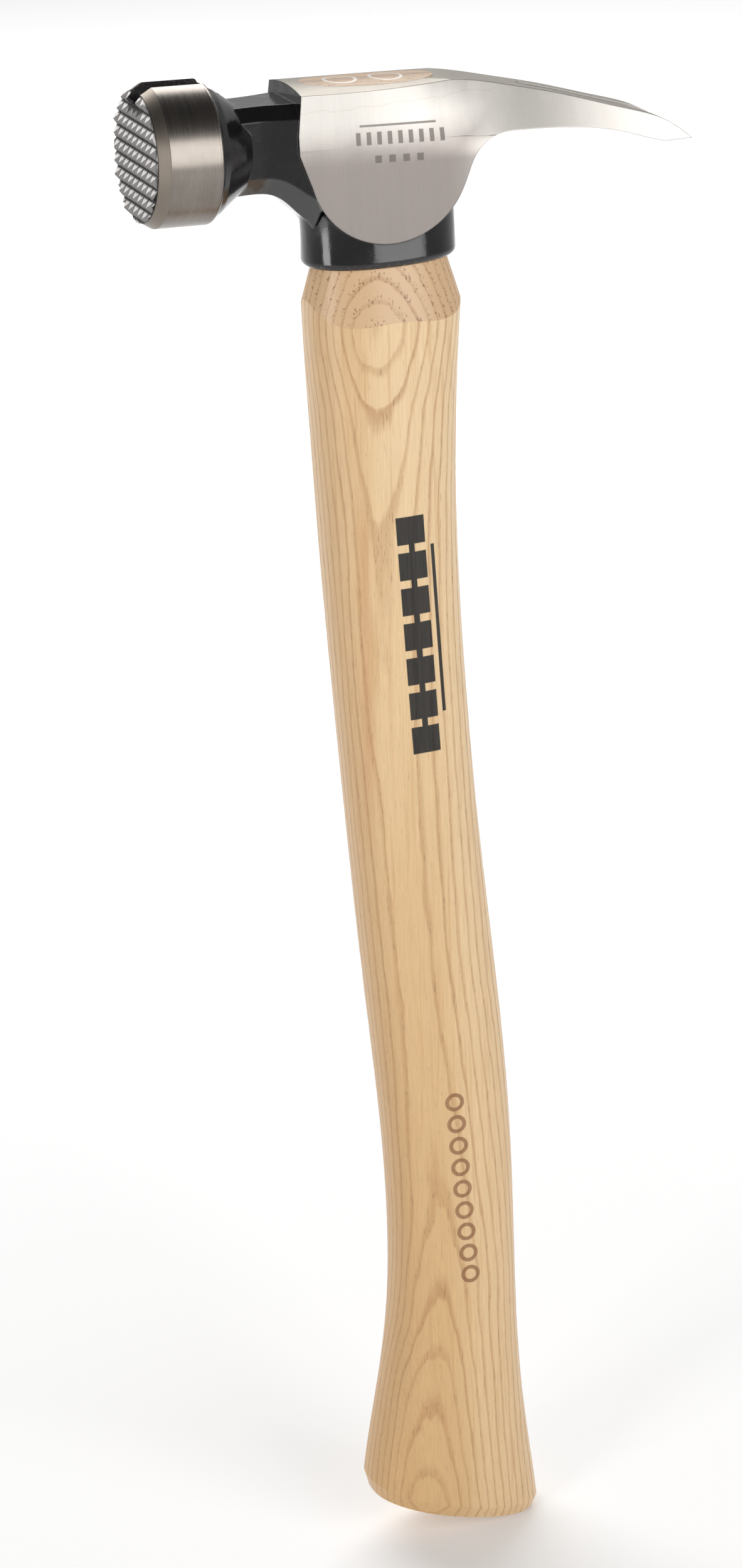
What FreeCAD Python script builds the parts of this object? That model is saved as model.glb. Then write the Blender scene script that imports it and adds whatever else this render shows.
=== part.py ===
import FreeCAD, Part
import math
import os
from FreeCAD import Vector

# Framing hammer with a milled striking face, a magnetic nail starter, a straight ripping claw
# and a curved hickory handle. Millimetres. +Z runs up the handle to the head, the striking face
# looks towards -X, the claw points to +X, and Y is the thickness, mirrored about Y = 0.
# The origin is the middle of the bottom of the whole hammer's box.
#
# The head functions work in the head's own frame: x from the eye's axis, z from the top edge of
# the cheeks. place_head() then moves a shape into the hammer's frame.

# Whole hammer
TOP_Z = 448.4  # top edge of the cheeks above the lowest point of the butt; 454 mm overall
FACE_REACH = 66.2  # eye axis to the tips of the face's teeth
CLAW_REACH = 91.0  # eye axis to the tip of the claw
LOW_TEETH_LEAN = 0.5  # the lowest teeth reach further out, because the face tilts
EYE_X = (FACE_REACH + LOW_TEETH_LEAN - CLAW_REACH) / 2
HEAD_TILT = 2.0  # degrees that the poll's axis and the ground top of the head rise to the face

# Poll, the round striking end
POLL_RADIUS = 19.1
POLL_DROP = 13.3  # middle of the face below the top edge of the cheeks
POLL_REAR = -46.7  # where the ground cylinder ends
POLL_REAR_ROUND = 1.0
MILLED_RADIUS = 17.4
TOOTH_PITCH = 3.7
TOOTH_HEIGHT = 1.5
TOOTH_FLAT = 0.27  # width of the blunt tip of a tooth
FACE_CHAMFER = 2.9
COLLAR_RADIUS = 17.2  # lacquered collar behind the cylinder, hollowed down to the neck
COLLAR_MIDDLE = (-41.2, 14.4)
COLLAR_END = (-36.6, 11.2)

# Nail starter, a U-shaped groove along the top of the poll with a magnet in its floor
GROOVE_WIDTH = 7.4
GROOVE_DEPTH = 5.4
GROOVE_RUNOUT = 4.5  # how far the groove runs on behind the cylinder
MAGNET_DIAMETER = 5.5
MAGNET_LENGTH = 4.5
MAGNET_RISE = 0.5  # the round floor's lowest line is this far below the magnet's face
MAGNET_X = -54.0

# Cheeks and claw
CHEEK_HALF = 13.0  # half the thickness across the cheeks
CHEEK_CENTRE = (1.7, -18.6)  # centre of the round lower border of the cheek
CHEEK_RADIUS = 23.2
CHEEK_FRONT_X = -24.1
CROWN = 1.5  # the top of the eye is ground slightly round across Y
CROWN_RADIUS = CHEEK_HALF ** 2 / (2 * CROWN) + CROWN / 2
CROWN_START_X = -20.0
CLAW_TIP = (CLAW_REACH, -23.5)
CLAW_BEVEL_FOOT = (82.8, -23.4)
SLOT_LENGTH = 45.6
SLOT_ROOT_WIDTH = 2.9
SLOT_TIP_WIDTH = 8.6
SLOT_BEVEL = 3.8  # how much wider the slot is on the handle side

# Skirt below the cheeks, and what fills the eye that runs through it
SKIRT_BOTTOM = -48.6
SKIRT_EDGE = 1.8
KERF_WIDTH = 2.9
KERF_FOOT_WIDTH = 1.1
KERF_DEPTH = 38.0
RING_RADIUS = 4.8
RING_WALL = 1.0
RING_DEPTH = 12.4
RING_FRONT_X = -7.4
RING_REAR_X = 5.6

# Skirt sections: (z, middle in x, half length in x, half thickness)
SKIRT_SECTIONS = [
    (SKIRT_BOTTOM, 2.2, 21.7, 13.8),
    (-42.8, 2.2, 21.7, 12.9),
    (-34.9, 2.0, 21.7, 12.4),
    (-24.8, 1.0, 22.0, 12.0),
    (-11.2, 0.0, 21.8, 11.9),
    (-2.2, -0.4, 20.8, 11.6),
]

# Eye sections, which are the tenon's too: (z, middle in x, half length in x, half thickness)
EYE_SECTIONS = [
    (SKIRT_BOTTOM - 6.0, 2.2, 18.7, 11.2),
    (-38.2, 1.6, 18.6, 10.3),
    (-22.5, 0.6, 18.7, 9.0),
    (3.4, 0.1, 18.9, 8.1),
]

# Neck sections: (x, top z, bottom z, half thickness, top bevel, bottom bevel)
NECK_SECTIONS = [
    (-47.2, -1.4, -27.7, 11.5, 4.0, 5.8),
    (-42.8, -2.0, -26.4, 10.5, 3.6, 5.4),
    (-38.2, -2.2, -26.0, 9.9, 3.4, 5.2),
    (-33.8, -2.2, -26.0, 9.9, 3.4, 5.2),
    (-29.2, -2.2, -26.8, 10.6, 3.5, 5.4),
    (-25.3, -2.2, -29.5, 11.5, 3.6, 6.1),
    (-21.7, -2.2, -33.1, 12.2, 3.6, 7.0),
    (-18.0, -2.2, -37.8, 12.5, 3.6, 7.9),
]

# Sloped sides of the claw: (x, half width of the top, its z, z where the slope meets the side)
CLAW_SLOPES = [
    (-33.8, 12.6, 0.0, -14.6),
    (-11.2, 12.3, 0.0, -14.6),
    (3.4, 11.4, 0.0, -14.6),
    (14.6, 9.6, 0.0, -14.6),
    (25.9, 7.8, -1.9, -15.3),
    (40.5, 7.0, -4.5, -16.9),
    (58.5, 7.9, -8.8, -20.9),
    (78.8, 10.1, -17.3, -27.0),
    (103.5, 11.9, -29.2, -38.2),
]

# Handle sections: (z above the butt, front and back x from the eye's axis, half thickness)
HANDLE_SECTIONS = [
    (-12.0, -14.8, 41.3, 15.1),
    (15.0, -14.1, 39.8, 15.0),
    (42.0, -9.6, 36.8, 14.6),
    (69.0, -5.0, 35.3, 14.2),
    (101.0, -3.2, 34.9, 13.8),
    (138.0, -4.5, 34.1, 13.6),
    (183.0, -8.2, 30.9, 13.5),
    (228.0, -11.5, 26.7, 13.5),
    (273.0, -14.4, 23.6, 13.6),
    (318.0, -16.9, 21.9, 14.0),
    (355.0, -18.4, 22.4, 14.4),
    (377.0, -19.2, 23.7, 14.7),
    (391.0, -19.5, 24.8, 15.0),
    (407.0, -20.2, 26.3, 15.2),
]
HANDLE_SQUARENESS = 2.5  # exponent of the grip's superellipse section; 2 is an ellipse
SHOULDER_SQUARENESS = 2.2
SHOULDER_LEDGE = 0.3  # how far the shoulder stands out around the eye
SHOULDER_DROP = 28.0
SHOULDER_TAPER = (16.6, 13.0)  # degrees that the shoulder flares in x and in y
BUTT_SLANT = 17.2  # degrees that the butt's end falls from front to back
BUTT_MIDDLE = (12.9, 8.5)  # x from the eye's axis, and z
BUTT_DOME_RADIUS = 200.0
BUTT_DOME_RISE = 2.2
BUTT_BEVEL = (4.1, 1.8)  # up the side, and inwards
BUTT_TOP = 42.0  # the butt's rim is below this


def superellipse(z, middle, half_x, half_y, exponent, points=32):
    """A closed smooth outline in a plane of constant z."""
    ring = []
    for i in range(points):
        turn = 2 * math.pi * i / points
        c, s = math.cos(turn), math.sin(turn)
        x = middle + half_x * math.copysign(abs(c) ** (2 / exponent), c)
        y = half_y * math.copysign(abs(s) ** (2 / exponent), s)
        ring.append(Vector(x, y, z))
    curve = Part.BSplineCurve()
    curve.interpolate(Points=ring, PeriodicFlag=True)
    return Part.Wire(curve.toShape())


def loft(wires, ruled=False):
    return Part.makeLoft(wires, True, ruled)


def polygon(corners):
    return Part.makePolygon(corners + corners[:1])


def in_side_plane(point):
    """A point (x, z) as a vector in the plane Y = 0."""
    return Vector(point[0], 0, point[1])


def segment(a, b):
    return Part.makeLine(in_side_plane(a), in_side_plane(b))


def arc(a, b, c):
    return Part.Arc(in_side_plane(a), in_side_plane(b), in_side_plane(c)).toShape()


def spline(points, start, end):
    """A smooth curve through points in the plane Y = 0, with a direction at each end."""
    curve = Part.BSplineCurve()
    curve.interpolate(
        Points=[in_side_plane(p) for p in points],
        InitialTangent=in_side_plane(start),
        FinalTangent=in_side_plane(end),
    )
    return curve.toShape()


def place_head(shape):
    moved = shape.copy()
    moved.translate(Vector(EYE_X, 0, TOP_Z))
    return moved


def tilt(shape, x, z):
    """Turn a shape about Y at (x, z), so that what lies behind that place sinks."""
    turned = shape.copy()
    turned.rotate(Vector(x, 0, z), Vector(0, 1, 0), HEAD_TILT)
    return turned


def tilt_poll(shape):
    return tilt(shape, -FACE_REACH, -POLL_DROP)


def crown_body():
    """The round that the top of the eye, its wood and its wedges are ground to."""
    axis_start = Vector(-CLAW_REACH, 0, CROWN - CROWN_RADIUS)
    round_bar = Part.makeCylinder(CROWN_RADIUS, 2.1 * CLAW_REACH, axis_start, Vector(1, 0, 0))
    return tilt(round_bar, CROWN_START_X, 0)


def poll():
    """The round poll with a plateau for the teeth, turned about its own axis."""
    tip = -FACE_REACH
    root = tip + TOOTH_HEIGHT
    edge_start = POLL_REAR - 1.5 * POLL_REAR_ROUND
    edge_middle = (POLL_REAR - 0.3 * POLL_REAR_ROUND, POLL_RADIUS - 0.4 * POLL_REAR_ROUND)
    edge_end = (POLL_REAR, POLL_RADIUS - POLL_REAR_ROUND)
    collar_start = (POLL_REAR + 1.8, COLLAR_RADIUS)
    edges = [
        segment((tip, 0), (tip, MILLED_RADIUS)),
        segment((tip, MILLED_RADIUS), (root, MILLED_RADIUS)),
        segment((root, MILLED_RADIUS), (root + FACE_CHAMFER, POLL_RADIUS)),
        segment((root + FACE_CHAMFER, POLL_RADIUS), (edge_start, POLL_RADIUS)),
        arc((edge_start, POLL_RADIUS), edge_middle, edge_end),
        segment(edge_end, collar_start),
        arc(collar_start, COLLAR_MIDDLE, COLLAR_END),
        segment(COLLAR_END, (COLLAR_END[0], 0)),
        segment((COLLAR_END[0], 0), (tip, 0)),
    ]
    half = Part.Face(Part.Wire(edges))
    turned = half.revolve(Vector(0, 0, 0), Vector(1, 0, 0), 360)
    turned.translate(Vector(0, 0, -POLL_DROP))
    return tilt_poll(turned)


def tooth_grooves():
    """V grooves in two directions, which leave a grid of pyramids on the face."""
    grooves = []
    clear = 0.5
    half_open = (TOOTH_PITCH - TOOTH_FLAT) / 2 * (TOOTH_HEIGHT + clear) / TOOTH_HEIGHT
    reach = MILLED_RADIUS + 2
    outside = -FACE_REACH - clear
    root = -FACE_REACH + TOOTH_HEIGHT
    count = int(MILLED_RADIUS / TOOTH_PITCH) + 1
    for i in range(-count, count + 1):
        at = (i + 0.5) * TOOTH_PITCH
        profile = [(outside, at - half_open), (root, at), (outside, at + half_open)]
        across = Part.Face(polygon([Vector(x, -reach, z - POLL_DROP) for x, z in profile]))
        upright = Part.Face(polygon([Vector(x, y, -reach - POLL_DROP) for x, y in profile]))
        grooves.append(across.extrude(Vector(0, 2 * reach, 0)))
        grooves.append(upright.extrude(Vector(0, 0, 2 * reach)))
    return tilt_poll(Part.Compound(grooves))


def nail_groove():
    """The U-shaped channel for a nail, open at the face and at the back of the poll."""
    half = GROOVE_WIDTH / 2
    middle = POLL_RADIUS - POLL_DROP - GROOVE_DEPTH + half
    front = -FACE_REACH - 1
    length = POLL_REAR + GROOVE_RUNOUT - front
    box = Part.makeBox(length, GROOVE_WIDTH, GROOVE_DEPTH, Vector(front, -half, middle))
    rod = Part.makeCylinder(half, length, Vector(front, 0, middle), Vector(1, 0, 0))
    return tilt_poll(box.fuse(rod))


def magnet():
    face = POLL_RADIUS - POLL_DROP - GROOVE_DEPTH + MAGNET_RISE
    foot = Vector(MAGNET_X, 0, face - MAGNET_LENGTH)
    return tilt_poll(Part.makeCylinder(MAGNET_DIAMETER / 2, MAGNET_LENGTH, foot))


def neck():
    """Eight-sided neck from the poll to the eye, whose underside sweeps down into the skirt."""
    wires = []
    for x, top, bottom, half, high_bevel, low_bevel in NECK_SECTIONS:
        near_side = [
            (half - high_bevel, top),
            (half, top - high_bevel),
            (half, bottom + low_bevel),
            (half - low_bevel, bottom),
        ]
        corners = near_side + [(-y, z) for y, z in reversed(near_side)]
        wires.append(polygon([Vector(x, y, z) for y, z in corners]))
    return loft(wires)


def on_cheek_border(degrees):
    """A point of the cheek's round lower border."""
    turn = math.radians(degrees)
    return (CHEEK_CENTRE[0] + CHEEK_RADIUS * math.cos(turn), CHEEK_CENTRE[1] + CHEEK_RADIUS * math.sin(turn))


def cheek_and_claw():
    """The flat-sided web: both cheeks with their round lower border, and the claw."""
    rear, low, front = (on_cheek_border(degrees) for degrees in (-39, -92, -165))
    top_front = (CHEEK_FRONT_X + 1.6, 2 * CROWN)
    top_rear = (9.0, 0.3)
    claw_top = [top_rear, (24.8, -1.0), (37.1, -3.7), (52.4, -7.6), (70.9, -13.3), (84.0, -18.1), CLAW_TIP]
    throat = [CLAW_BEVEL_FOOT, (71.6, -19.9), (56.2, -16.7), (39.4, -15.4), (31.7, -16.0),
              (26.6, -19.8), (23.5, -26.3), rear]
    edges = [
        segment(top_front, top_rear),
        spline(claw_top, start=(1, -0.05), end=(0.75, -0.66)),
        segment(CLAW_TIP, CLAW_BEVEL_FOOT),
        spline(throat, start=(-0.97, 0.2), end=(-0.63, -0.78)),
        arc(rear, low, front),
        segment(front, (CHEEK_FRONT_X, -15.3)),
        segment((CHEEK_FRONT_X, -15.3), (CHEEK_FRONT_X, -10.1)),
        segment((CHEEK_FRONT_X, -10.1), top_front),
    ]
    face = Part.Face(Part.Wire(edges))
    face.translate(Vector(0, -CHEEK_HALF, 0))
    return face.extrude(Vector(0, 2 * CHEEK_HALF, 0))


def slope_cutter(side):
    """What is ground away beside the top of the claw, so that its sides lean inwards."""
    over = 6.0
    outside = side * (CHEEK_HALF + over)
    wires = []
    for x, half_top, top, waist in CLAW_SLOPES:
        lean = (CHEEK_HALF - half_top) / (top - waist)
        wires.append(polygon([
            Vector(x, side * (half_top - lean * over), top + over),
            Vector(x, side * CHEEK_HALF, waist),
            Vector(x, outside, waist),
            Vector(x, outside, top + over),
        ]))
    return loft(wires)


def claw_slot():
    """The nail slot: a V in plan, wider on the handle side, with a round root."""
    root_x = CLAW_REACH - SLOT_LENGTH
    end_x = CLAW_REACH + 4

    def outline(z, extra):
        half_root = (SLOT_ROOT_WIDTH + extra) / 2
        half_tip = (SLOT_TIP_WIDTH + extra) / 2
        a, b = Vector(end_x, half_tip, z), Vector(root_x, half_root, z)
        c, d = Vector(root_x, -half_root, z), Vector(end_x, -half_tip, z)
        nose = Part.Arc(b, Vector(root_x - half_root, 0, z), c).toShape()
        return Part.Wire([Part.makeLine(a, b), nose, Part.makeLine(c, d), Part.makeLine(d, a)])

    return loft([outline(7.0, 0.0), outline(-11.0, SLOT_BEVEL * 0.4), outline(-36.0, SLOT_BEVEL)], True)


def skirt():
    sections = [superellipse(z, cx, a, b, SHOULDER_SQUARENESS) for z, cx, a, b in SKIRT_SECTIONS]
    solid = loft(sections)
    rim = [e for e in solid.Edges if e.BoundBox.ZMax < SKIRT_BOTTOM + 0.01]
    return solid.makeFillet(SKIRT_EDGE, rim)


def eye():
    return loft([superellipse(z, cx, a, b, SHOULDER_SQUARENESS) for z, cx, a, b in EYE_SECTIONS])


def ring_shell(x):
    """A round steel wedge: a short tapered tube standing on its narrow end."""
    foot = Vector(x, 0, -RING_DEPTH)
    height = RING_DEPTH + 2 * CROWN
    outer = Part.makeCone(RING_RADIUS - 0.4, RING_RADIUS, height, foot)
    inner = Part.makeCone(RING_RADIUS - 0.6, RING_RADIUS - RING_WALL, height, foot)
    return outer.cut(inner)


def kerf():
    """The saw cut along the tenon, which its hardwood wedge fills."""
    wires = []
    for z, width in ((-KERF_DEPTH, KERF_FOOT_WIDTH), (2 * CROWN, KERF_WIDTH)):
        x, y = CHEEK_RADIUS, width / 2
        wires.append(polygon([Vector(-x, -y, z), Vector(x, -y, z), Vector(x, y, z), Vector(-x, y, z)]))
    return loft(wires, True)


def head():
    web = cheek_and_claw().cut([slope_cutter(-1), slope_cutter(1)])
    body = web.fuse([neck(), skirt()]).common(crown_body())
    body = body.fuse(poll())
    body = body.cut([claw_slot(), nail_groove(), tooth_grooves(), eye(), magnet()])
    return place_head(body.removeSplitter())


def handle_body():
    """The curved grip, from below the butt up into the shoulder."""
    wires = []
    for z, front, back, half in HANDLE_SECTIONS:
        middle = EYE_X + (front + back) / 2
        wires.append(superellipse(z, middle, (back - front) / 2, half, HANDLE_SQUARENESS))
    return loft(wires)


def butt_dome():
    """A large ball whose surface is the slanted, slightly domed end of the butt."""
    slant = math.radians(BUTT_SLANT)
    down = Vector(-math.sin(slant), 0, -math.cos(slant))
    middle = Vector(EYE_X + BUTT_MIDDLE[0], 0, BUTT_MIDDLE[1])
    return Part.makeSphere(BUTT_DOME_RADIUS, middle + down * (BUTT_DOME_RISE - BUTT_DOME_RADIUS))


def shoulder():
    """The tapered cut that carries the grip's section into the eye."""
    cx, a, b = EYE_SECTIONS[0][1:]
    a, b = a + SHOULDER_LEDGE, b + SHOULDER_LEDGE
    height = 2 * SHOULDER_DROP
    flare_x, flare_y = (height * math.tan(math.radians(t)) for t in SHOULDER_TAPER)
    upper = superellipse(SKIRT_BOTTOM, cx, a, b, SHOULDER_SQUARENESS)
    lower = superellipse(SKIRT_BOTTOM - height, cx, a + flare_x, b + flare_y, SHOULDER_SQUARENESS)
    return place_head(loft([upper, lower], True))


def tenon():
    """The top of the handle, which fills the eye, with the kerf and the ring slots cut."""
    wood = eye().common(crown_body())
    return place_head(wood.cut([kerf(), ring_shell(RING_FRONT_X), ring_shell(RING_REAR_X)]))


def handle():
    """Grip, tapered shoulder and tenon in one length of wood."""
    wide = FACE_REACH + CLAW_REACH
    corner = Vector(-wide / 2, -wide / 2, -wide)
    below = Part.makeBox(wide, wide, wide + TOP_Z + SKIRT_BOTTOM - SHOULDER_DROP, corner)
    above_butt = Part.makeBox(wide, wide, TOP_Z, Vector(-wide / 2, -wide / 2, BUTT_TOP))
    grip = handle_body().common(below.fuse(shoulder()))
    grip = grip.common(butt_dome().fuse(above_butt))
    rim = [e for e in grip.Edges if e.BoundBox.ZMax < BUTT_TOP and e.Length > BUTT_TOP]
    grip = grip.makeChamfer(BUTT_BEVEL[0], BUTT_BEVEL[1], rim)
    return grip.fuse(tenon()).removeSplitter()


def wood_wedge():
    wedge = kerf().common(eye()).common(crown_body())
    return place_head(wedge.cut([ring_shell(RING_FRONT_X), ring_shell(RING_REAR_X)]))


def ring_wedge(x):
    return place_head(ring_shell(x).common(crown_body()))


def build():
    return {
        "head": head(),
        "handle": handle(),
        "wood_wedge": wood_wedge(),
        "ring_wedge_front": ring_wedge(RING_FRONT_X),
        "ring_wedge_rear": ring_wedge(RING_REAR_X),
        "nail_magnet": place_head(magnet()),
    }


def main():
    os.makedirs("parts", exist_ok=True)
    for node, shape in build().items():
        print(node, len(shape.Solids), "solid", round(shape.Volume), "mm3", shape.isValid())
        shape.exportStep("parts/" + node + ".step")


main()
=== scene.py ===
"""Looks of a hickory framing hammer with a milled face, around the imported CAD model.

Metres, in the model's own frame: the face points to -X, the claw to +X, the butt stands on Z = 0.
Lengths in the materials are in millimetres, because each one first scales its object coordinates.
"""
import math

import bpy
from mathutils import Matrix, Vector

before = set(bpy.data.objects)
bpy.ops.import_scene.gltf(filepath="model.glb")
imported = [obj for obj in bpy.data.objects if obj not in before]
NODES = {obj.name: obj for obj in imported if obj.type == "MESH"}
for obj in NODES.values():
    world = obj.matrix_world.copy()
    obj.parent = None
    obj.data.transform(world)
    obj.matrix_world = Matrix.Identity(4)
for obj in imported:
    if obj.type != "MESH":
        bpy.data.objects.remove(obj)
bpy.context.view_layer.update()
MM = 0.001

# --- Places on the hammer, in millimetres, as in the CAD model
EYE_X = -12.15  # axis of the eye
TOP_Z = 448.4  # top edge of the cheeks
CHEEK_HALF = 13.0
SKIRT_BOTTOM_Z = TOP_Z - 48.6
POLL_TILT = math.radians(2.0)
POLL_TIP = (EYE_X - 66.2, TOP_Z - 13.3)  # x and z of the middle of the face, at the tips of its teeth
POLL_RADIUS = 19.1
TOOTH_HEIGHT = 1.5
CHAMFER_END = 4.45  # behind the tips of the teeth
POLL_END = 19.6
TOOTH_FIELD_RADIUS = 17.5  # outside it the face is ground, not milled
GROOVE_HALF = 3.8
GROOVE_INNER_RADIUS = 12.0  # the nail groove is further than this from the poll's axis
SHOULDER_FOOT_Z = 371.0
CHEEK_FRONT_X = -24.11  # from the eye's axis
TOP_FRONT_X, TOP_REAR_X = -24.5, 30.0  # ends of the flat ground top, from the eye's axis
CLAW_FRONT_X = 20.0  # from the eye's axis
CLAW_BARE_X = 34.0  # behind this the claw has no lacquer at all
SLOPE_FOOT_Z = -14.6  # above this, from the cheeks' top edge, the sides lean inwards
# Slopes of the head's sides: x from the eye's axis, lean, and z of the foot from the top edge
SIDE_SLOPES = [(-33.8, 0.027, -14.6), (-11.2, 0.048, -14.6), (3.4, 0.11, -14.6), (14.6, 0.233, -14.61),
               (25.9, 0.388, -15.3), (40.5, 0.484, -16.9), (58.5, 0.42, -20.9), (78.8, 0.30, -27.0),
               (103.5, 0.12, -38.2)]
BLEND_DEPTH = 6.0  # how far below its foot a slope starts to show in the shading
MARK_SOFTNESS = 0.12  # half of the width over which a printed edge fades
FACE_TOLERANCE = 0.12  # a flat face's middle may lie this far off the round surface it stands for
# Numbers of a Mix node's sockets when it mixes colours
MIX_A, MIX_B, MIX_RESULT = 6, 7, 2


# --- Node graphs -------------------------------------------------------------------------------
class Graph:
    """A material's nodes. Values are sockets or plain numbers."""

    def __init__(self, name):
        self.material = bpy.data.materials.new(name)
        self.material.use_nodes = True
        self.tree = self.material.node_tree
        self.tree.nodes.clear()
        self.output = self.node("ShaderNodeOutputMaterial")
        self.place = self.scaled_place()
        split = self.node("ShaderNodeSeparateXYZ")
        self.set(split.inputs[0], self.place)
        self.x, self.y, self.z = split.outputs
        normal = self.node("ShaderNodeSeparateXYZ")
        self.set(normal.inputs[0], self.node("ShaderNodeNewGeometry").outputs["Normal"])
        _, self.ny, self.nz = normal.outputs

    def node(self, kind, **settings):
        made = self.tree.nodes.new(kind)
        for key, value in settings.items():
            setattr(made, key, value)
        return made

    def set(self, socket, value):
        if isinstance(value, bpy.types.NodeSocket):
            self.tree.links.new(value, socket)
        else:
            socket.default_value = value

    def scaled_place(self):
        """Object coordinates in millimetres."""
        scale = self.node("ShaderNodeVectorMath", operation="SCALE")
        self.set(scale.inputs[0], self.node("ShaderNodeTexCoord").outputs["Object"])
        self.set(scale.inputs["Scale"], 1 / MM)
        return scale.outputs[0]

    def math(self, operation, a, b=0.0, clamp=False):
        made = self.node("ShaderNodeMath", operation=operation, use_clamp=clamp)
        for socket, value in zip(made.inputs, (a, b)):
            self.set(socket, value)
        return made.outputs[0]

    def add(self, *values):
        total = values[0]
        for value in values[1:]:
            total = self.math("ADD", total, value)
        return total

    def mul(self, *values):
        total = values[0]
        for value in values[1:]:
            total = self.math("MULTIPLY", total, value)
        return total

    def sub(self, a, b):
        return self.math("SUBTRACT", a, b)

    def most(self, *values):
        """The largest of the values."""
        top = values[0]
        for value in values[1:]:
            top = self.math("MAXIMUM", top, value)
        return top

    def length(self, a, b):
        """Length of the vector (a, b)."""
        return self.math("SQRT", self.add(self.mul(a, a), self.mul(b, b)))

    def step(self, value, low, high, to_low=0.0, to_high=1.0):
        """value from low to high as a smooth step from to_low to to_high."""
        made = self.node("ShaderNodeMapRange", interpolation_type="SMOOTHSTEP")
        for socket, given in zip(made.inputs, (value, low, high, to_low, to_high)):
            self.set(socket, given)
        return made.outputs[0]

    def curve(self, value, points):
        """A piecewise smooth function through (value, result) points; both may have any size."""
        results = [p[1] for p in points]
        least, span = min(results), max(results) - min(results)
        low, high = points[0][0], points[-1][0]
        ramp = self.node("ShaderNodeValToRGB")
        ramp.color_ramp.interpolation = "CARDINAL"
        stops = ramp.color_ramp.elements
        for at, _ in points[1:-1]:
            stops.new((at - low) / (high - low))
        for stop, (_, result) in zip(stops, points):
            share = (result - least) / span
            stop.color = (share, share, share, 1)
        self.set(ramp.inputs[0], self.math("DIVIDE", self.sub(value, low), high - low))
        return self.add(self.mul(ramp.outputs[0], span), least)

    def vector(self, x, y, z):
        made = self.node("ShaderNodeCombineXYZ")
        for socket, value in zip(made.inputs, (x, y, z)):
            self.set(socket, value)
        return made.outputs[0]

    def noise(self, x, y, z, detail=2.0, roughness=0.5):
        """Noise of about one wave for each unit of the place given."""
        made = self.node("ShaderNodeTexNoise")
        self.set(made.inputs["Vector"], self.vector(x, y, z))
        self.set(made.inputs["Scale"], 1.0)
        self.set(made.inputs["Detail"], detail)
        self.set(made.inputs["Roughness"], roughness)
        return made.outputs[0]

    def stretched(self, across_x, across_y, along_z, **settings):
        """Noise of the object's place, with the wave length in millimetres on each axis."""
        return self.noise(self.mul(self.x, 1 / across_x), self.mul(self.y, 1 / across_y),
                          self.mul(self.z, 1 / along_z), **settings)

    def mix(self, share, a, b, blend="MIX"):
        made = self.node("ShaderNodeMix", data_type="RGBA", blend_type=blend)
        self.set(made.inputs["Factor"], share)
        for socket, value in ((made.inputs[MIX_A], a), (made.inputs[MIX_B], b)):
            self.set(socket, value if isinstance(value, bpy.types.NodeSocket) else (*value, 1.0))
        return made.outputs[MIX_RESULT]

    def multiply(self, colour, factor):
        """The colour times a plain factor."""
        return self.mix(1.0, colour, self.vector(factor, factor, factor), "MULTIPLY")

    def bump(self, height, distance_mm, strength, after=None):
        """Normal of a relief whose height, from 0 to 1, is worth distance_mm."""
        made = self.node("ShaderNodeBump")
        self.set(made.inputs["Height"], height)
        self.set(made.inputs["Distance"], distance_mm * MM)
        self.set(made.inputs["Strength"], strength)
        if after is not None:
            self.set(made.inputs["Normal"], after)
        return made.outputs[0]

    def rounded(self, radius_mm):
        """Normal with the sharp edges softened to a small radius."""
        made = self.node("ShaderNodeBevel", samples=6)
        self.set(made.inputs["Radius"], radius_mm * MM)
        return made.outputs[0]

    def surface(self, **inputs):
        """Ends the graph in one Principled shader; keys are its inputs with _ for a space."""
        shader = self.node("ShaderNodeBsdfPrincipled")
        for key, value in inputs.items():
            if isinstance(value, tuple) and len(value) == 3:
                value = (*value, 1.0)
            self.set(shader.inputs[key.replace("_", " ")], value)
        self.set(self.output.inputs["Surface"], shader.outputs[0])
        return self.material


def srgb(red, green, blue):
    """A colour given as 0-255 sRGB, in the linear values that Blender takes."""
    out = []
    for part in (red, green, blue):
        share = part / 255
        out.append(share / 12.92 if share <= 0.04045 else ((share + 0.055) / 1.055) ** 2.4)
    return tuple(out)


def behind_teeth(g):
    """Distance behind the tips of the teeth, along the poll's tilted axis."""
    dx, dz = g.sub(g.x, POLL_TIP[0]), g.sub(g.z, POLL_TIP[1])
    return g.sub(g.mul(dx, math.cos(POLL_TILT)), g.mul(dz, math.sin(POLL_TILT)))


def box_mask(g, u, v, middle, half):
    """1 inside a rectangle in the coordinates u and v."""
    masks = []
    for value, centre, size in zip((u, v), middle, half):
        distance = g.math("ABSOLUTE", g.sub(value, centre))
        masks.append(g.step(distance, size + MARK_SOFTNESS, size - MARK_SOFTNESS))
    return g.mul(*masks)


def from_row(g, along, start, pitch):
    """Distance from the nearest of a row of places, pitch apart, one of them at start."""
    return g.math("PINGPONG", g.sub(along, start), pitch / 2)


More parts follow.
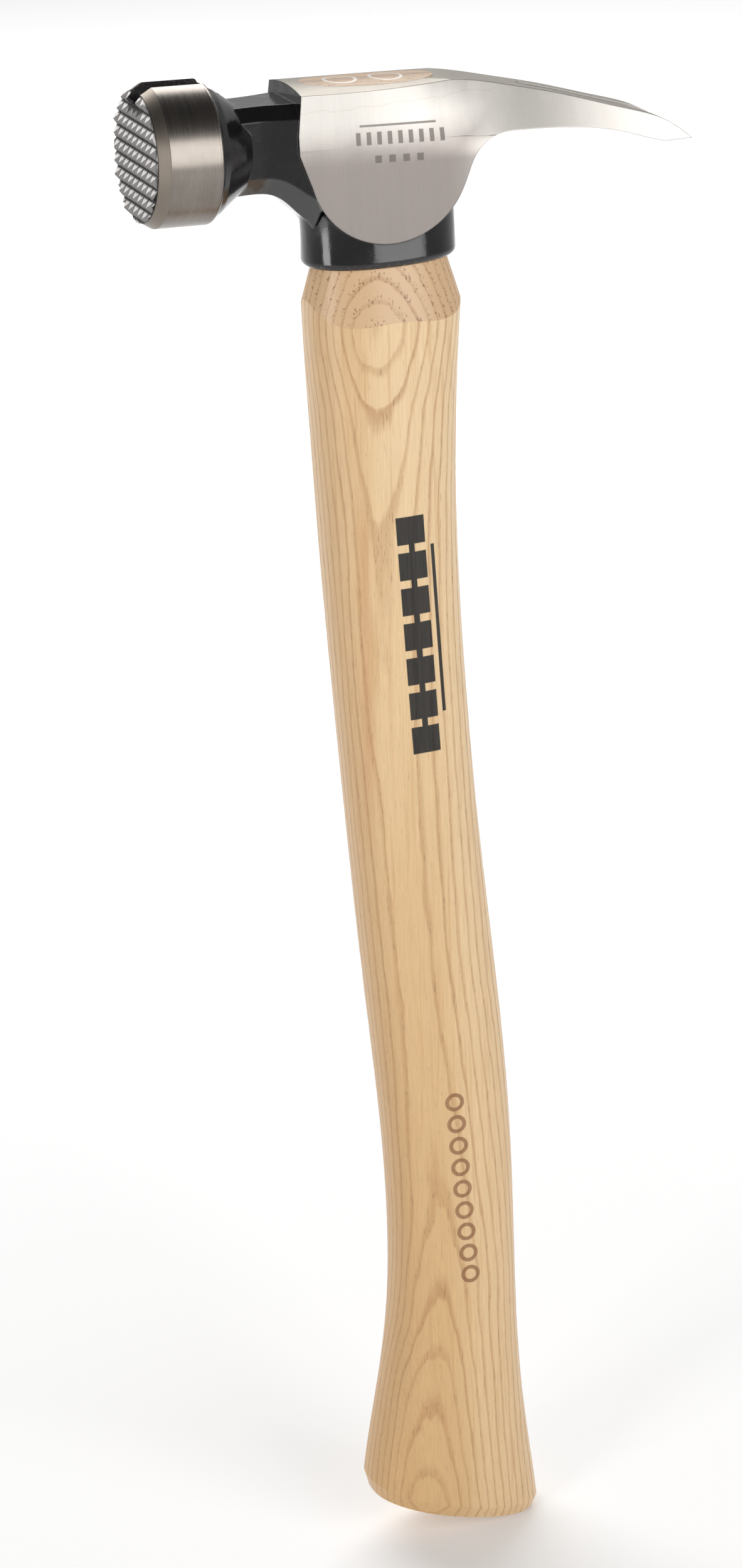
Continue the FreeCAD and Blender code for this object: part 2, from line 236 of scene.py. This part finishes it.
# --- Steel -------------------------------------------------------------------------------------
def cheek_steel():
    """Cheeks and the claw's sides: brushed up and down, with a painted sheen that makes them brighter
    above, brighter towards the claw, and a plain etched mark.
    """
    g = Graph("brushed_cheek")
    fine = g.stretched(0.16, 0.5, 9.0, detail=3, roughness=0.7)
    broad = g.stretched(2.2, 3.0, 30.0, detail=2)
    cloud = g.stretched(9.0, 9.0, 6.0, detail=3)
    level = g.add(g.sub(g.z, TOP_Z), g.mul(g.sub(cloud, 0.5), 3.0))
    # painted sheen: the steel is painted paler towards the top edge, a reflection put into the colour;
    # the claw is paler as well
    painted_sheen_above = g.step(level, -20.0, -7.0)
    claw = g.step(g.x, EYE_X + 18, EYE_X + 34)
    painted_sheen_and_claw = g.most(painted_sheen_above, claw)
    colour = g.mix(painted_sheen_and_claw, srgb(138, 131, 127), srgb(174, 170, 165))
    streaks = g.add(0.82, g.mul(fine, 0.24), g.mul(broad, 0.12))
    colour = g.multiply(colour, streaks)
    # one long wavering scratch, 4.2 mm below the top edge
    wave = g.mul(g.sub(g.noise(g.mul(g.x, 0.07), 0.0, 3.0, detail=3), 0.5), 5.0)
    from_scratch = g.math("ABSOLUTE", g.add(level, wave, 4.2))
    scratch = g.mul(g.step(from_scratch, 0.22, 0.05), 0.28)
    colour = g.mix(scratch, colour, srgb(150, 143, 136))
    mark = etched_mark(g)
    colour = g.mix(g.mul(mark, 0.8), colour, srgb(116, 110, 106))
    rough = g.add(0.30, g.mul(fine, 0.12), g.mul(g.sub(1.0, painted_sheen_and_claw), 0.08), g.mul(mark, 0.15))
    relief = g.bump(slope_blend(g), distance_mm=1.0, strength=1.0, after=g.rounded(0.35))
    relief = g.bump(g.add(fine, g.mul(broad, 0.4)), 0.012, 0.5, after=relief)
    return g.surface(Base_Color=colour, Metallic=1.0, Roughness=rough, Normal=relief)


def slope_blend(g):
    """Height that leans the flat cheek's normal gradually up to the slope above it, in millimetres."""
    lean = g.curve(g.x, [(EYE_X + at, slope) for at, slope, _ in SIDE_SLOPES])
    foot = g.curve(g.x, [(EYE_X + at, TOP_Z + low) for at, _, low in SIDE_SLOPES])
    rise = g.add(g.sub(g.z, foot), BLEND_DEPTH)
    share = g.math("DIVIDE", rise, BLEND_DEPTH, clamp=True)
    return g.mul(lean, -0.5 * BLEND_DEPTH, share, share)


def etched_mark(g):
    """A thin rule over a row of plain ticks and a row of squares, on the near cheek only."""
    middle_x, middle_z, lean = EYE_X + 4.0, TOP_Z - 13.2, 0.05
    near = g.step(g.ny, -0.7, -0.9)
    along = g.sub(g.x, middle_x)
    above = g.add(g.sub(g.z, middle_z), g.mul(along, lean))
    rule = box_mask(g, along, above, (0, 3.4), (11.0, 0.28))
    ticks = g.mul(g.step(from_row(g, along, -1.0, 3.0), 0.75, 0.95),
                  box_mask(g, along, above, (0, 0), (13.4, 1.7)))
    squares = g.mul(g.step(from_row(g, along, 0.0, 4.0), 0.9, 1.2),
                    box_mask(g, along, above, (0, -5.6), (8.0, 1.0)))
    return g.mul(near, g.most(rule, ticks, squares))


def poll_steel():
    """The ground cylinder and its chamfer, turned around the poll's axis."""
    g = Graph("turned_poll")
    behind = behind_teeth(g)
    rings = g.noise(g.mul(behind, 4.2), g.mul(g.y, 0.05), g.mul(g.z, 0.05), detail=4, roughness=0.75)
    cloud = g.stretched(8, 8, 8, detail=3)
    tone = g.add(g.mul(rings, 0.5), g.mul(cloud, 0.5))
    colour = g.mix(tone, srgb(96, 90, 85), srgb(158, 151, 143))
    chamfer = g.step(behind, CHAMFER_END + 0.1, CHAMFER_END - 0.1)
    colour = g.mix(g.mul(chamfer, 0.55), colour, srgb(132, 122, 110))
    rear = g.step(behind, POLL_END - 1.6, POLL_END)
    colour = g.mix(g.mul(rear, 0.6), colour, srgb(86, 80, 76))
    rough = g.add(0.20, g.mul(rings, 0.14), g.mul(chamfer, 0.10))
    relief = g.bump(rings, 0.010, 0.6, after=g.rounded(0.3))
    return g.surface(Base_Color=colour, Metallic=1.0, Roughness=rough, Normal=relief)


def milled_steel():
    """The waffle face: painted light on the facets that face up, painted shade on those that face down,
    near black in the valleys.
    """
    g = Graph("milled_face")
    behind = behind_teeth(g)
    speck = g.stretched(0.7, 0.7, 0.7, detail=3)
    deep = g.step(g.add(behind, g.mul(g.sub(speck, 0.5), 0.4)), 0.95, TOOTH_HEIGHT * 0.96)
    # painted light and shade: facets that face up are painted pale, facets that face down are painted
    # near black
    painted_light_upward = g.step(g.nz, -0.05, 0.25)
    colour = g.mix(painted_light_upward, srgb(98, 96, 95), srgb(205, 202, 200))
    painted_shade_downward = g.step(g.nz, -0.15, -0.4)
    colour = g.mix(g.mul(painted_shade_downward, 0.9), colour, srgb(26, 24, 24))
    colour = g.mix(deep, colour, srgb(14, 13, 13))
    metal = g.sub(1.0, g.mul(deep, 0.7))
    return g.surface(Base_Color=colour, Metallic=metal, Roughness=g.add(0.34, g.mul(speck, 0.2)),
                     Normal=g.bump(speck, 0.015, 0.4))


def ground_top():
    """Top of the eye and of the claw: ground lengthwise, greyer than the cheeks."""
    g = Graph("ground_top")
    lines = g.noise(g.mul(g.x, 0.10), g.mul(g.y, 5.0), 0.0, detail=4, roughness=0.75)
    cloud = g.stretched(5, 5, 5, detail=3)
    colour = g.mix(g.add(g.mul(lines, 0.6), g.mul(cloud, 0.4)), srgb(112, 106, 98), srgb(148, 142, 132))
    claw = g.step(g.x, EYE_X + 26, EYE_X + 40)
    colour = g.mix(g.mul(claw, 0.5), colour, srgb(140, 133, 126))
    return g.surface(Base_Color=colour, Metallic=1.0, Roughness=g.add(0.3, g.mul(lines, 0.16)),
                     Normal=g.bump(lines, 0.014, 0.5, after=g.rounded(0.35)))


def forged_black():
    """Unground floor of the nail groove: rough scale under thin black."""
    g = Graph("forged_scale")
    grit = g.stretched(0.8, 0.8, 0.8, detail=4, roughness=0.7)
    colour = g.mix(g.step(grit, 0.45, 0.75), srgb(24, 22, 22), srgb(74, 68, 63))
    return g.surface(Base_Color=colour, Metallic=0.4, Roughness=g.add(0.35, g.mul(grit, 0.35)),
                     Normal=g.bump(grit, 0.12, 0.9))


def black_lacquer():
    """Gloss black on the forging's collar, neck, eye and skirt, chipped along the skirt's rim."""
    g = Graph("black_lacquer")
    sag = g.stretched(7.0, 7.0, 11.0, detail=2)
    grit = g.stretched(0.55, 0.55, 0.55, detail=3)
    rim = g.step(g.z, SKIRT_BOTTOM_Z + 1.9, SKIRT_BOTTOM_Z + 0.4)
    chips = g.mul(rim, g.step(g.stretched(1.3, 1.3, 1.0, detail=4, roughness=0.7), 0.56, 0.64))
    colour = g.mix(grit, (0.0035, 0.003, 0.0035), (0.010, 0.009, 0.010))
    colour = g.mix(g.mul(chips, 0.55), colour, srgb(118, 108, 100))
    rough = g.add(0.10, g.mul(grit, 0.08), g.mul(chips, 0.3))
    relief = g.bump(sag, 0.5, 0.45, after=g.rounded(0.7))
    relief = g.bump(g.add(grit, g.mul(chips, -1.0)), 0.03, 0.5, after=relief)
    return g.surface(Base_Color=colour, Metallic=0.0, Roughness=rough, Normal=relief,
                     Coat_Weight=0.35, Coat_Roughness=0.05, Specular_IOR_Level=0.45)


def wedge_steel():
    """Ring wedges: bright annular ends, ground with the eye's top."""
    g = Graph("ring_wedge_steel")
    lines = g.noise(g.mul(g.x, 0.15), g.mul(g.y, 5.0), 0.0, detail=4, roughness=0.7)
    colour = g.mix(lines, srgb(150, 143, 135), srgb(220, 214, 206))
    return g.surface(Base_Color=colour, Metallic=1.0, Roughness=g.add(0.26, g.mul(lines, 0.18)),
                     Normal=g.bump(lines, 0.012, 0.5))


def nickel():
    """The magnet's plated case."""
    g = Graph("magnet_nickel")
    speck = g.stretched(0.9, 0.9, 0.9, detail=3)
    colour = g.mix(speck, srgb(176, 172, 168), srgb(226, 222, 216))
    return g.surface(Base_Color=colour, Metallic=1.0, Roughness=g.add(0.16, g.mul(speck, 0.18)),
                     Normal=g.bump(speck, 0.02, 0.4))


# --- Wood --------------------------------------------------------------------------------------
RING_WIDTH = 2.55
# Distance of the near face from the pith line, in ring widths, along the handle: it grows towards
# the middle of the handle, so the rings make arches above the butt and bowls under the shoulder
NEAR_FACE_RINGS = [(0, 5.1), (27, 6.0), (59, 7.0), (74, 8.0), (102, 9.0), (160, 9.75), (250, 9.95),
                   (328, 9.85), (362, 9.0), (374, 8.0), (384, 7.4), (392, 7.8), (402, 8.6), (452, 9.4)]
PITH_X = [(0, -14.5), (60, -14.2), (102, -11.5), (183, -16.5), (275, -20.5), (360, -20.0), (452, -18.0)]
HALF_THICKNESS = 13.9


def growth_rings(g, waver):
    """Growth rings counted outwards at each place, with the fraction, and x from the pith line."""
    ripple = g.sub(g.stretched(2.2, 2.2, 16, detail=3), 0.5)
    depth = g.add(g.mul(g.curve(g.z, NEAR_FACE_RINGS), RING_WIDTH), g.add(g.y, HALF_THICKNESS))
    from_pith = g.sub(g.x, g.curve(g.z, PITH_X))
    # the rings run closer on the front side, where the tree grew slower
    from_pith = g.mul(from_pith, g.step(from_pith, -6.0, 2.0, 1.55, 1.0))
    radius = g.add(g.length(from_pith, depth), g.mul(waver, 2.0), g.mul(ripple, 0.9))
    return g.mul(radius, 1 / RING_WIDTH), from_pith


def early_wood(g, count, phase):
    """How dark the porous start of each year's ring is; some years grew more than others."""
    vigour = g.noise(g.mul(g.math("FLOOR", count), 7.31), 0.5, 0.5, detail=0)
    band = g.mul(g.step(phase, 0.0, 0.10), g.step(phase, 0.42, 0.12))
    return g.mul(band, g.add(0.35, g.mul(vigour, 1.1)))


def board_colour(g, early, from_pith, waver, strand):
    """Colour of the board before its fibres and pores: paler upwards, with a stain in the middle and a
    painted highlight along the rear edge.
    """
    cloud = g.stretched(16, 16, 110, detail=2)
    height = g.step(g.z, 60.0, 400.0)
    pale = g.mix(height, srgb(208, 171, 121), srgb(230, 202, 160))
    colour = g.mix(g.mul(g.sub(cloud, 0.25), 0.6), pale, srgb(201, 160, 108))
    front = g.step(from_pith, 4.0, -3.0)
    colour = g.mix(g.mul(front, 0.30), colour, srgb(193, 147, 95))
    # painted highlight: the board is painted paler along its rear edge, where a lamp would light it
    rear = g.step(g.x, EYE_X + 8, EYE_X + 20)
    colour = g.mix(g.mul(rear, 0.35), colour, srgb(236, 211, 172))
    colour = g.mix(g.mul(early, 0.54), colour, srgb(176, 130, 84))
    from_stain = g.math("ABSOLUTE", g.add(from_pith, 1.5, g.mul(waver, 4.0)))
    stain = g.mul(g.step(g.z, 220, 262), g.step(g.z, 345, 322), g.step(from_stain, 2.6, 0.6))
    colour = g.mix(g.mul(stain, 0.35, g.add(0.4, strand)), colour, srgb(190, 132, 88))
    return g.mix(g.mul(g.step(strand, 0.50, 0.75), 0.38), colour, srgb(194, 149, 98))


def cut_colour(g, early, phase):
    """Colour where the cut crosses the fibres: dots of open pores along each ring."""
    dots = g.stretched(0.62, 0.62, 0.9, detail=2)
    dots = g.mul(g.step(dots, 0.57, 0.66), g.step(phase, 0.0, 0.08), g.step(phase, 0.62, 0.42))
    colour = g.mix(g.mul(early, 0.55), srgb(206, 172, 133), srgb(180, 139, 100))
    return g.mix(g.mul(dots, 0.75), colour, srgb(128, 88, 58))


def hickory(name, end_grain=False):
    """Clear-varnished hickory cut from rings around a line in front of the near face."""
    g = Graph(name)
    waver = g.sub(g.stretched(14, 14, 60, detail=2), 0.5)
    count, from_pith = growth_rings(g, waver)
    phase = g.math("FRACT", count)
    early = early_wood(g, count, phase)
    fibres = g.stretched(0.28, 0.28, 11, detail=3, roughness=0.65)
    strand = g.stretched(1.1, 1.1, 45, detail=2)
    pore_at = g.stretched(0.26, 0.26, 4.2, detail=2)
    pores = g.mul(g.step(pore_at, 0.60, 0.68), g.step(phase, 0.02, 0.08), g.step(phase, 0.34, 0.22))
    stray_pores = g.mul(g.step(pore_at, 0.67, 0.73), 0.40)

    colour = board_colour(g, early, from_pith, waver, strand)
    colour = g.multiply(colour, g.add(0.76, g.mul(fibres, 0.37)))
    colour = g.mix(g.most(g.mul(pores, 0.55), stray_pores), colour, srgb(139, 98, 62))
    if end_grain:
        colour = g.mix(0.55, cut_colour(g, early, phase), srgb(150, 120, 92))
    else:
        colour = g.mix(cut_ends(g), colour, cut_colour(g, early, phase))

    printed, burnt = handle_marks(g)
    colour = g.mix(g.mul(burnt, g.add(0.65, g.mul(strand, 0.3))), colour, srgb(128, 82, 44))
    colour = g.mix(g.mul(printed, g.add(0.93, g.mul(fibres, 0.10))), colour, srgb(5, 4, 4))

    rough = g.add(0.36, g.mul(early, 0.10), g.mul(pores, 0.15), g.mul(fibres, 0.08))
    rough = g.add(rough, g.mul(printed, 0.2))
    relief = g.bump(g.add(g.mul(fibres, 0.5), g.mul(pores, -1.0), g.mul(early, -0.4)), 0.05, 0.45)
    relief = g.bump(g.mul(burnt, -1.0), 0.12, 0.8, after=relief)
    return g.surface(Base_Color=colour, Roughness=rough, Normal=relief, Coat_Weight=0.25,
                     Coat_Roughness=0.25, Specular_IOR_Level=0.4)


def cut_ends(g):
    """1 on the shoulder under the head and on the butt, where the cut crosses the fibres."""
    edge = g.mul(g.sub(g.stretched(5, 5, 5, detail=1), 0.5), 0.05)
    above_foot = g.step(g.z, SHOULDER_FOOT_Z - 4, SHOULDER_FOOT_Z)
    shoulder = g.mul(g.step(g.add(g.nz, edge), 0.11, 0.16), above_foot)
    butt = g.step(g.nz, -0.45, -0.6)
    return g.most(shoulder, butt)


def across_handle(g, x, z, lean):
    """Distance across the handle from a line through x and z that follows the handle's curve."""
    return g.add(g.sub(g.x, x), g.mul(g.sub(g.z, z), lean))


def handle_marks(g):
    """Two plain marks on the near side: a black print, and a row of burnt rings below it."""
    near = g.step(g.ny, -0.15, -0.3)
    # the print: blocks joined by a line, beside a thin rule
    across = across_handle(g, -6.3, 296.0, lean=0.052)
    from_gap = from_row(g, g.z, 300.0, 10.4)
    blocks = g.mul(g.step(from_gap, 1.0, 1.3), box_mask(g, across, g.z, (-0.6, 294.8), (4.2, 36.4)))
    line = box_mask(g, across, g.z, (-0.6, 294.8), (0.9, 35.0))
    rule = box_mask(g, across, g.z, (5.7, 296.0), (0.55, 25.0))
    printed = g.mul(near, g.most(blocks, line, rule))
    # the rings
    across = across_handle(g, 2.4, 119.0, lean=0.062)
    radius = g.length(across, from_row(g, g.z, 119.6, 7.2))
    ring = g.mul(g.step(radius, 3.1, 2.8), g.step(radius, 1.6, 1.9))
    burnt = g.mul(near, ring, box_mask(g, across, g.z, (0.0, 119.6), (5.0, 32.4)))
    return printed, burnt


# --- Which finish each face of the head has ------------------------------------------------------
def poll_coordinates(point):
    """Distance behind the tips of the teeth, and distance from the poll's axis, of a point."""
    dx, dz = point.x - POLL_TIP[0], point.z - POLL_TIP[1]
    behind = dx * math.cos(POLL_TILT) - dz * math.sin(POLL_TILT)
    height = dx * math.sin(POLL_TILT) + dz * math.cos(POLL_TILT)
    return behind, math.hypot(height, point.y)


def poll_finish(behind, radius, y, z):
    """Name of the finish on a face of the poll; z is from the top edge of the cheeks."""
    if radius > POLL_RADIUS - FACE_TOLERANCE:
        return "poll"
    in_groove = abs(y) < GROOVE_HALF and z > -4 and behind > 0.2
    if in_groove and radius > GROOVE_INNER_RADIUS:
        return "scale"
    if behind < TOOTH_HEIGHT + FACE_TOLERANCE:
        return "teeth" if radius < TOOTH_FIELD_RADIUS else "poll"
    return "poll" if behind < CHAMFER_END else "lacquer"


def head_finish(point, normal):
    """Name of the finish at a face's middle, in millimetres, with its normal."""
    x, y, z = point.x - EYE_X, point.y, point.z - TOP_Z
    behind, radius = poll_coordinates(point)
    if behind < POLL_END:
        return poll_finish(behind, radius, y, z)
    on_side = abs(abs(y) - CHEEK_HALF) < 0.02 and abs(normal.y) > 0.9995
    on_slope = z > SLOPE_FOOT_Z - 0.4 and abs(normal.y) > 0.98 and abs(y) > CHEEK_HALF - 1.5
    if (on_side or on_slope) and x > CHEEK_FRONT_X:
        return "cheek"
    if normal.z > 0.9 and z > -2.0 and TOP_FRONT_X < x < TOP_REAR_X:
        return "top"
    if x > CLAW_FRONT_X:
        if normal.z > 0.45:
            return "top"
        if x > CLAW_BARE_X or z > SLOPE_FOOT_Z - 0.1:
            return "cheek"
    if abs(normal.y) > 0.6 and z > SLOPE_FOOT_Z - 0.4 and x > -20:
        return "cheek"
    return "lacquer"


def finish_head(head):
    makers = {"cheek": cheek_steel, "poll": poll_steel, "teeth": milled_steel, "top": ground_top,
              "scale": forged_black, "lacquer": black_lacquer}
    head.data.materials.clear()
    order = {}
    for name, make in makers.items():
        order[name] = len(head.data.materials)
        head.data.materials.append(make())
    for face in head.data.polygons:
        face.material_index = order[head_finish(face.center / MM, face.normal)]


def finish(node, material):
    NODES[node].data.materials.clear()
    NODES[node].data.materials.append(material)


# --- Stage, lights and camera --------------------------------------------------------------------
def add_floor():
    half_size = 12.0
    mesh = bpy.data.meshes.new("floor")
    corners = [(-half_size, -half_size, 0), (half_size, -half_size, 0),
               (half_size, half_size, 0), (-half_size, half_size, 0)]
    mesh.from_pydata(corners, [], [(0, 1, 2, 3)])
    floor = bpy.data.objects.new("floor", mesh)
    bpy.context.scene.collection.objects.link(floor)
    g = Graph("studio_floor")
    mesh.materials.append(g.surface(Base_Color=(0.86, 0.86, 0.86), Roughness=0.9,
                                    Specular_IOR_Level=0.1, Emission_Color=(1.0, 1.0, 1.0),
                                    Emission_Strength=0.14))


def add_softbox(name, place, target, size, watts):
    """A rectangular light at place that looks at target, in metres."""
    light = bpy.data.lights.new(name, "AREA")
    light.shape = "RECTANGLE"
    light.size, light.size_y = size
    light.energy = watts
    box = bpy.data.objects.new(name, light)
    bpy.context.scene.collection.objects.link(box)
    box.location = place
    box.rotation_euler = (Vector(target) - Vector(place)).to_track_quat("-Z", "Y").to_euler()


def add_world():
    """Bright near the horizon and dark overhead, as in a tent with a dark roof."""
    world = bpy.data.worlds.new("studio")
    bpy.context.scene.world = world
    world.use_nodes = True
    nodes, links = world.node_tree.nodes, world.node_tree.links
    nodes.clear()
    ramp = nodes.new("ShaderNodeValToRGB")
    stops = ramp.color_ramp.elements
    stops[0].position, stops[0].color = 0.0, (1.0, 1.0, 1.0, 1)
    stops[1].position, stops[1].color = 1.0, (0.12, 0.12, 0.125, 1)
    for at, level in ((0.42, 1.0), (0.66, 0.2)):
        stop = stops.new(at)
        stop.color = (level, level, level, 1)
    split = nodes.new("ShaderNodeSeparateXYZ")
    background = nodes.new("ShaderNodeBackground")
    background.inputs["Strength"].default_value = 0.48
    output = nodes.new("ShaderNodeOutputWorld")
    links.new(nodes.new("ShaderNodeTexCoord").outputs["Generated"], split.inputs[0])
    links.new(split.outputs[2], ramp.inputs[0])
    links.new(ramp.outputs[0], background.inputs["Color"])
    links.new(background.outputs[0], output.inputs["Surface"])


def add_camera():
    """The photograph's view: 21 degrees round to the face's side, 22 degrees above."""
    azimuth, elevation, roll = (math.radians(angle) for angle in (21.06, 22.04, 1.89))
    target = Vector((-17.145, 0.0, 247.17)) * MM
    distance = 1125 * MM
    frame_height, focal_length = 2500, 6301.3  # the focal length that goes with this height
    forward = Vector((math.sin(azimuth) * math.cos(elevation), math.cos(azimuth) * math.cos(elevation),
                      -math.sin(elevation)))
    right = Vector((math.cos(azimuth), -math.sin(azimuth), 0.0))
    up = right.cross(forward)
    picture_right = right * math.cos(roll) - up * math.sin(roll)
    picture_up = right * math.sin(roll) + up * math.cos(roll)
    data = bpy.data.cameras.new("camera")
    data.sensor_fit = "VERTICAL"
    data.sensor_height = 36.0
    data.lens = data.sensor_height * focal_length / frame_height
    data.clip_start, data.clip_end = 0.02, 60.0
    camera = bpy.data.objects.new("camera", data)
    bpy.context.scene.collection.objects.link(camera)
    turn = Matrix((picture_right, picture_up, -forward)).transposed().to_4x4()
    camera.matrix_world = Matrix.Translation(target - forward * distance) @ turn
    bpy.context.scene.camera = camera


finish_head(NODES["head"])
finish("handle", hickory("hickory_handle"))
finish("wood_wedge", hickory("wedge_end_grain", end_grain=True))
finish("ring_wedge_front", wedge_steel())
finish("ring_wedge_rear", NODES["ring_wedge_front"].data.materials[0])
finish("nail_magnet", nickel())
add_floor()
add_world()
add_softbox("key", (0.6, -1.25, 0.68), (0, 0, 0.42), (1.1, 1.0), 11.3)
add_softbox("fill", (-1.35, -0.75, 0.45), (0, 0, 0.25), (0.45, 1.0), 8.5)
add_softbox("back", (0.2, 1.7, 1.85), (0.1, 0.9, 0.0), (3.2, 1.2), 58)
add_camera()
bpy.context.scene.view_settings.view_transform = "Standard"
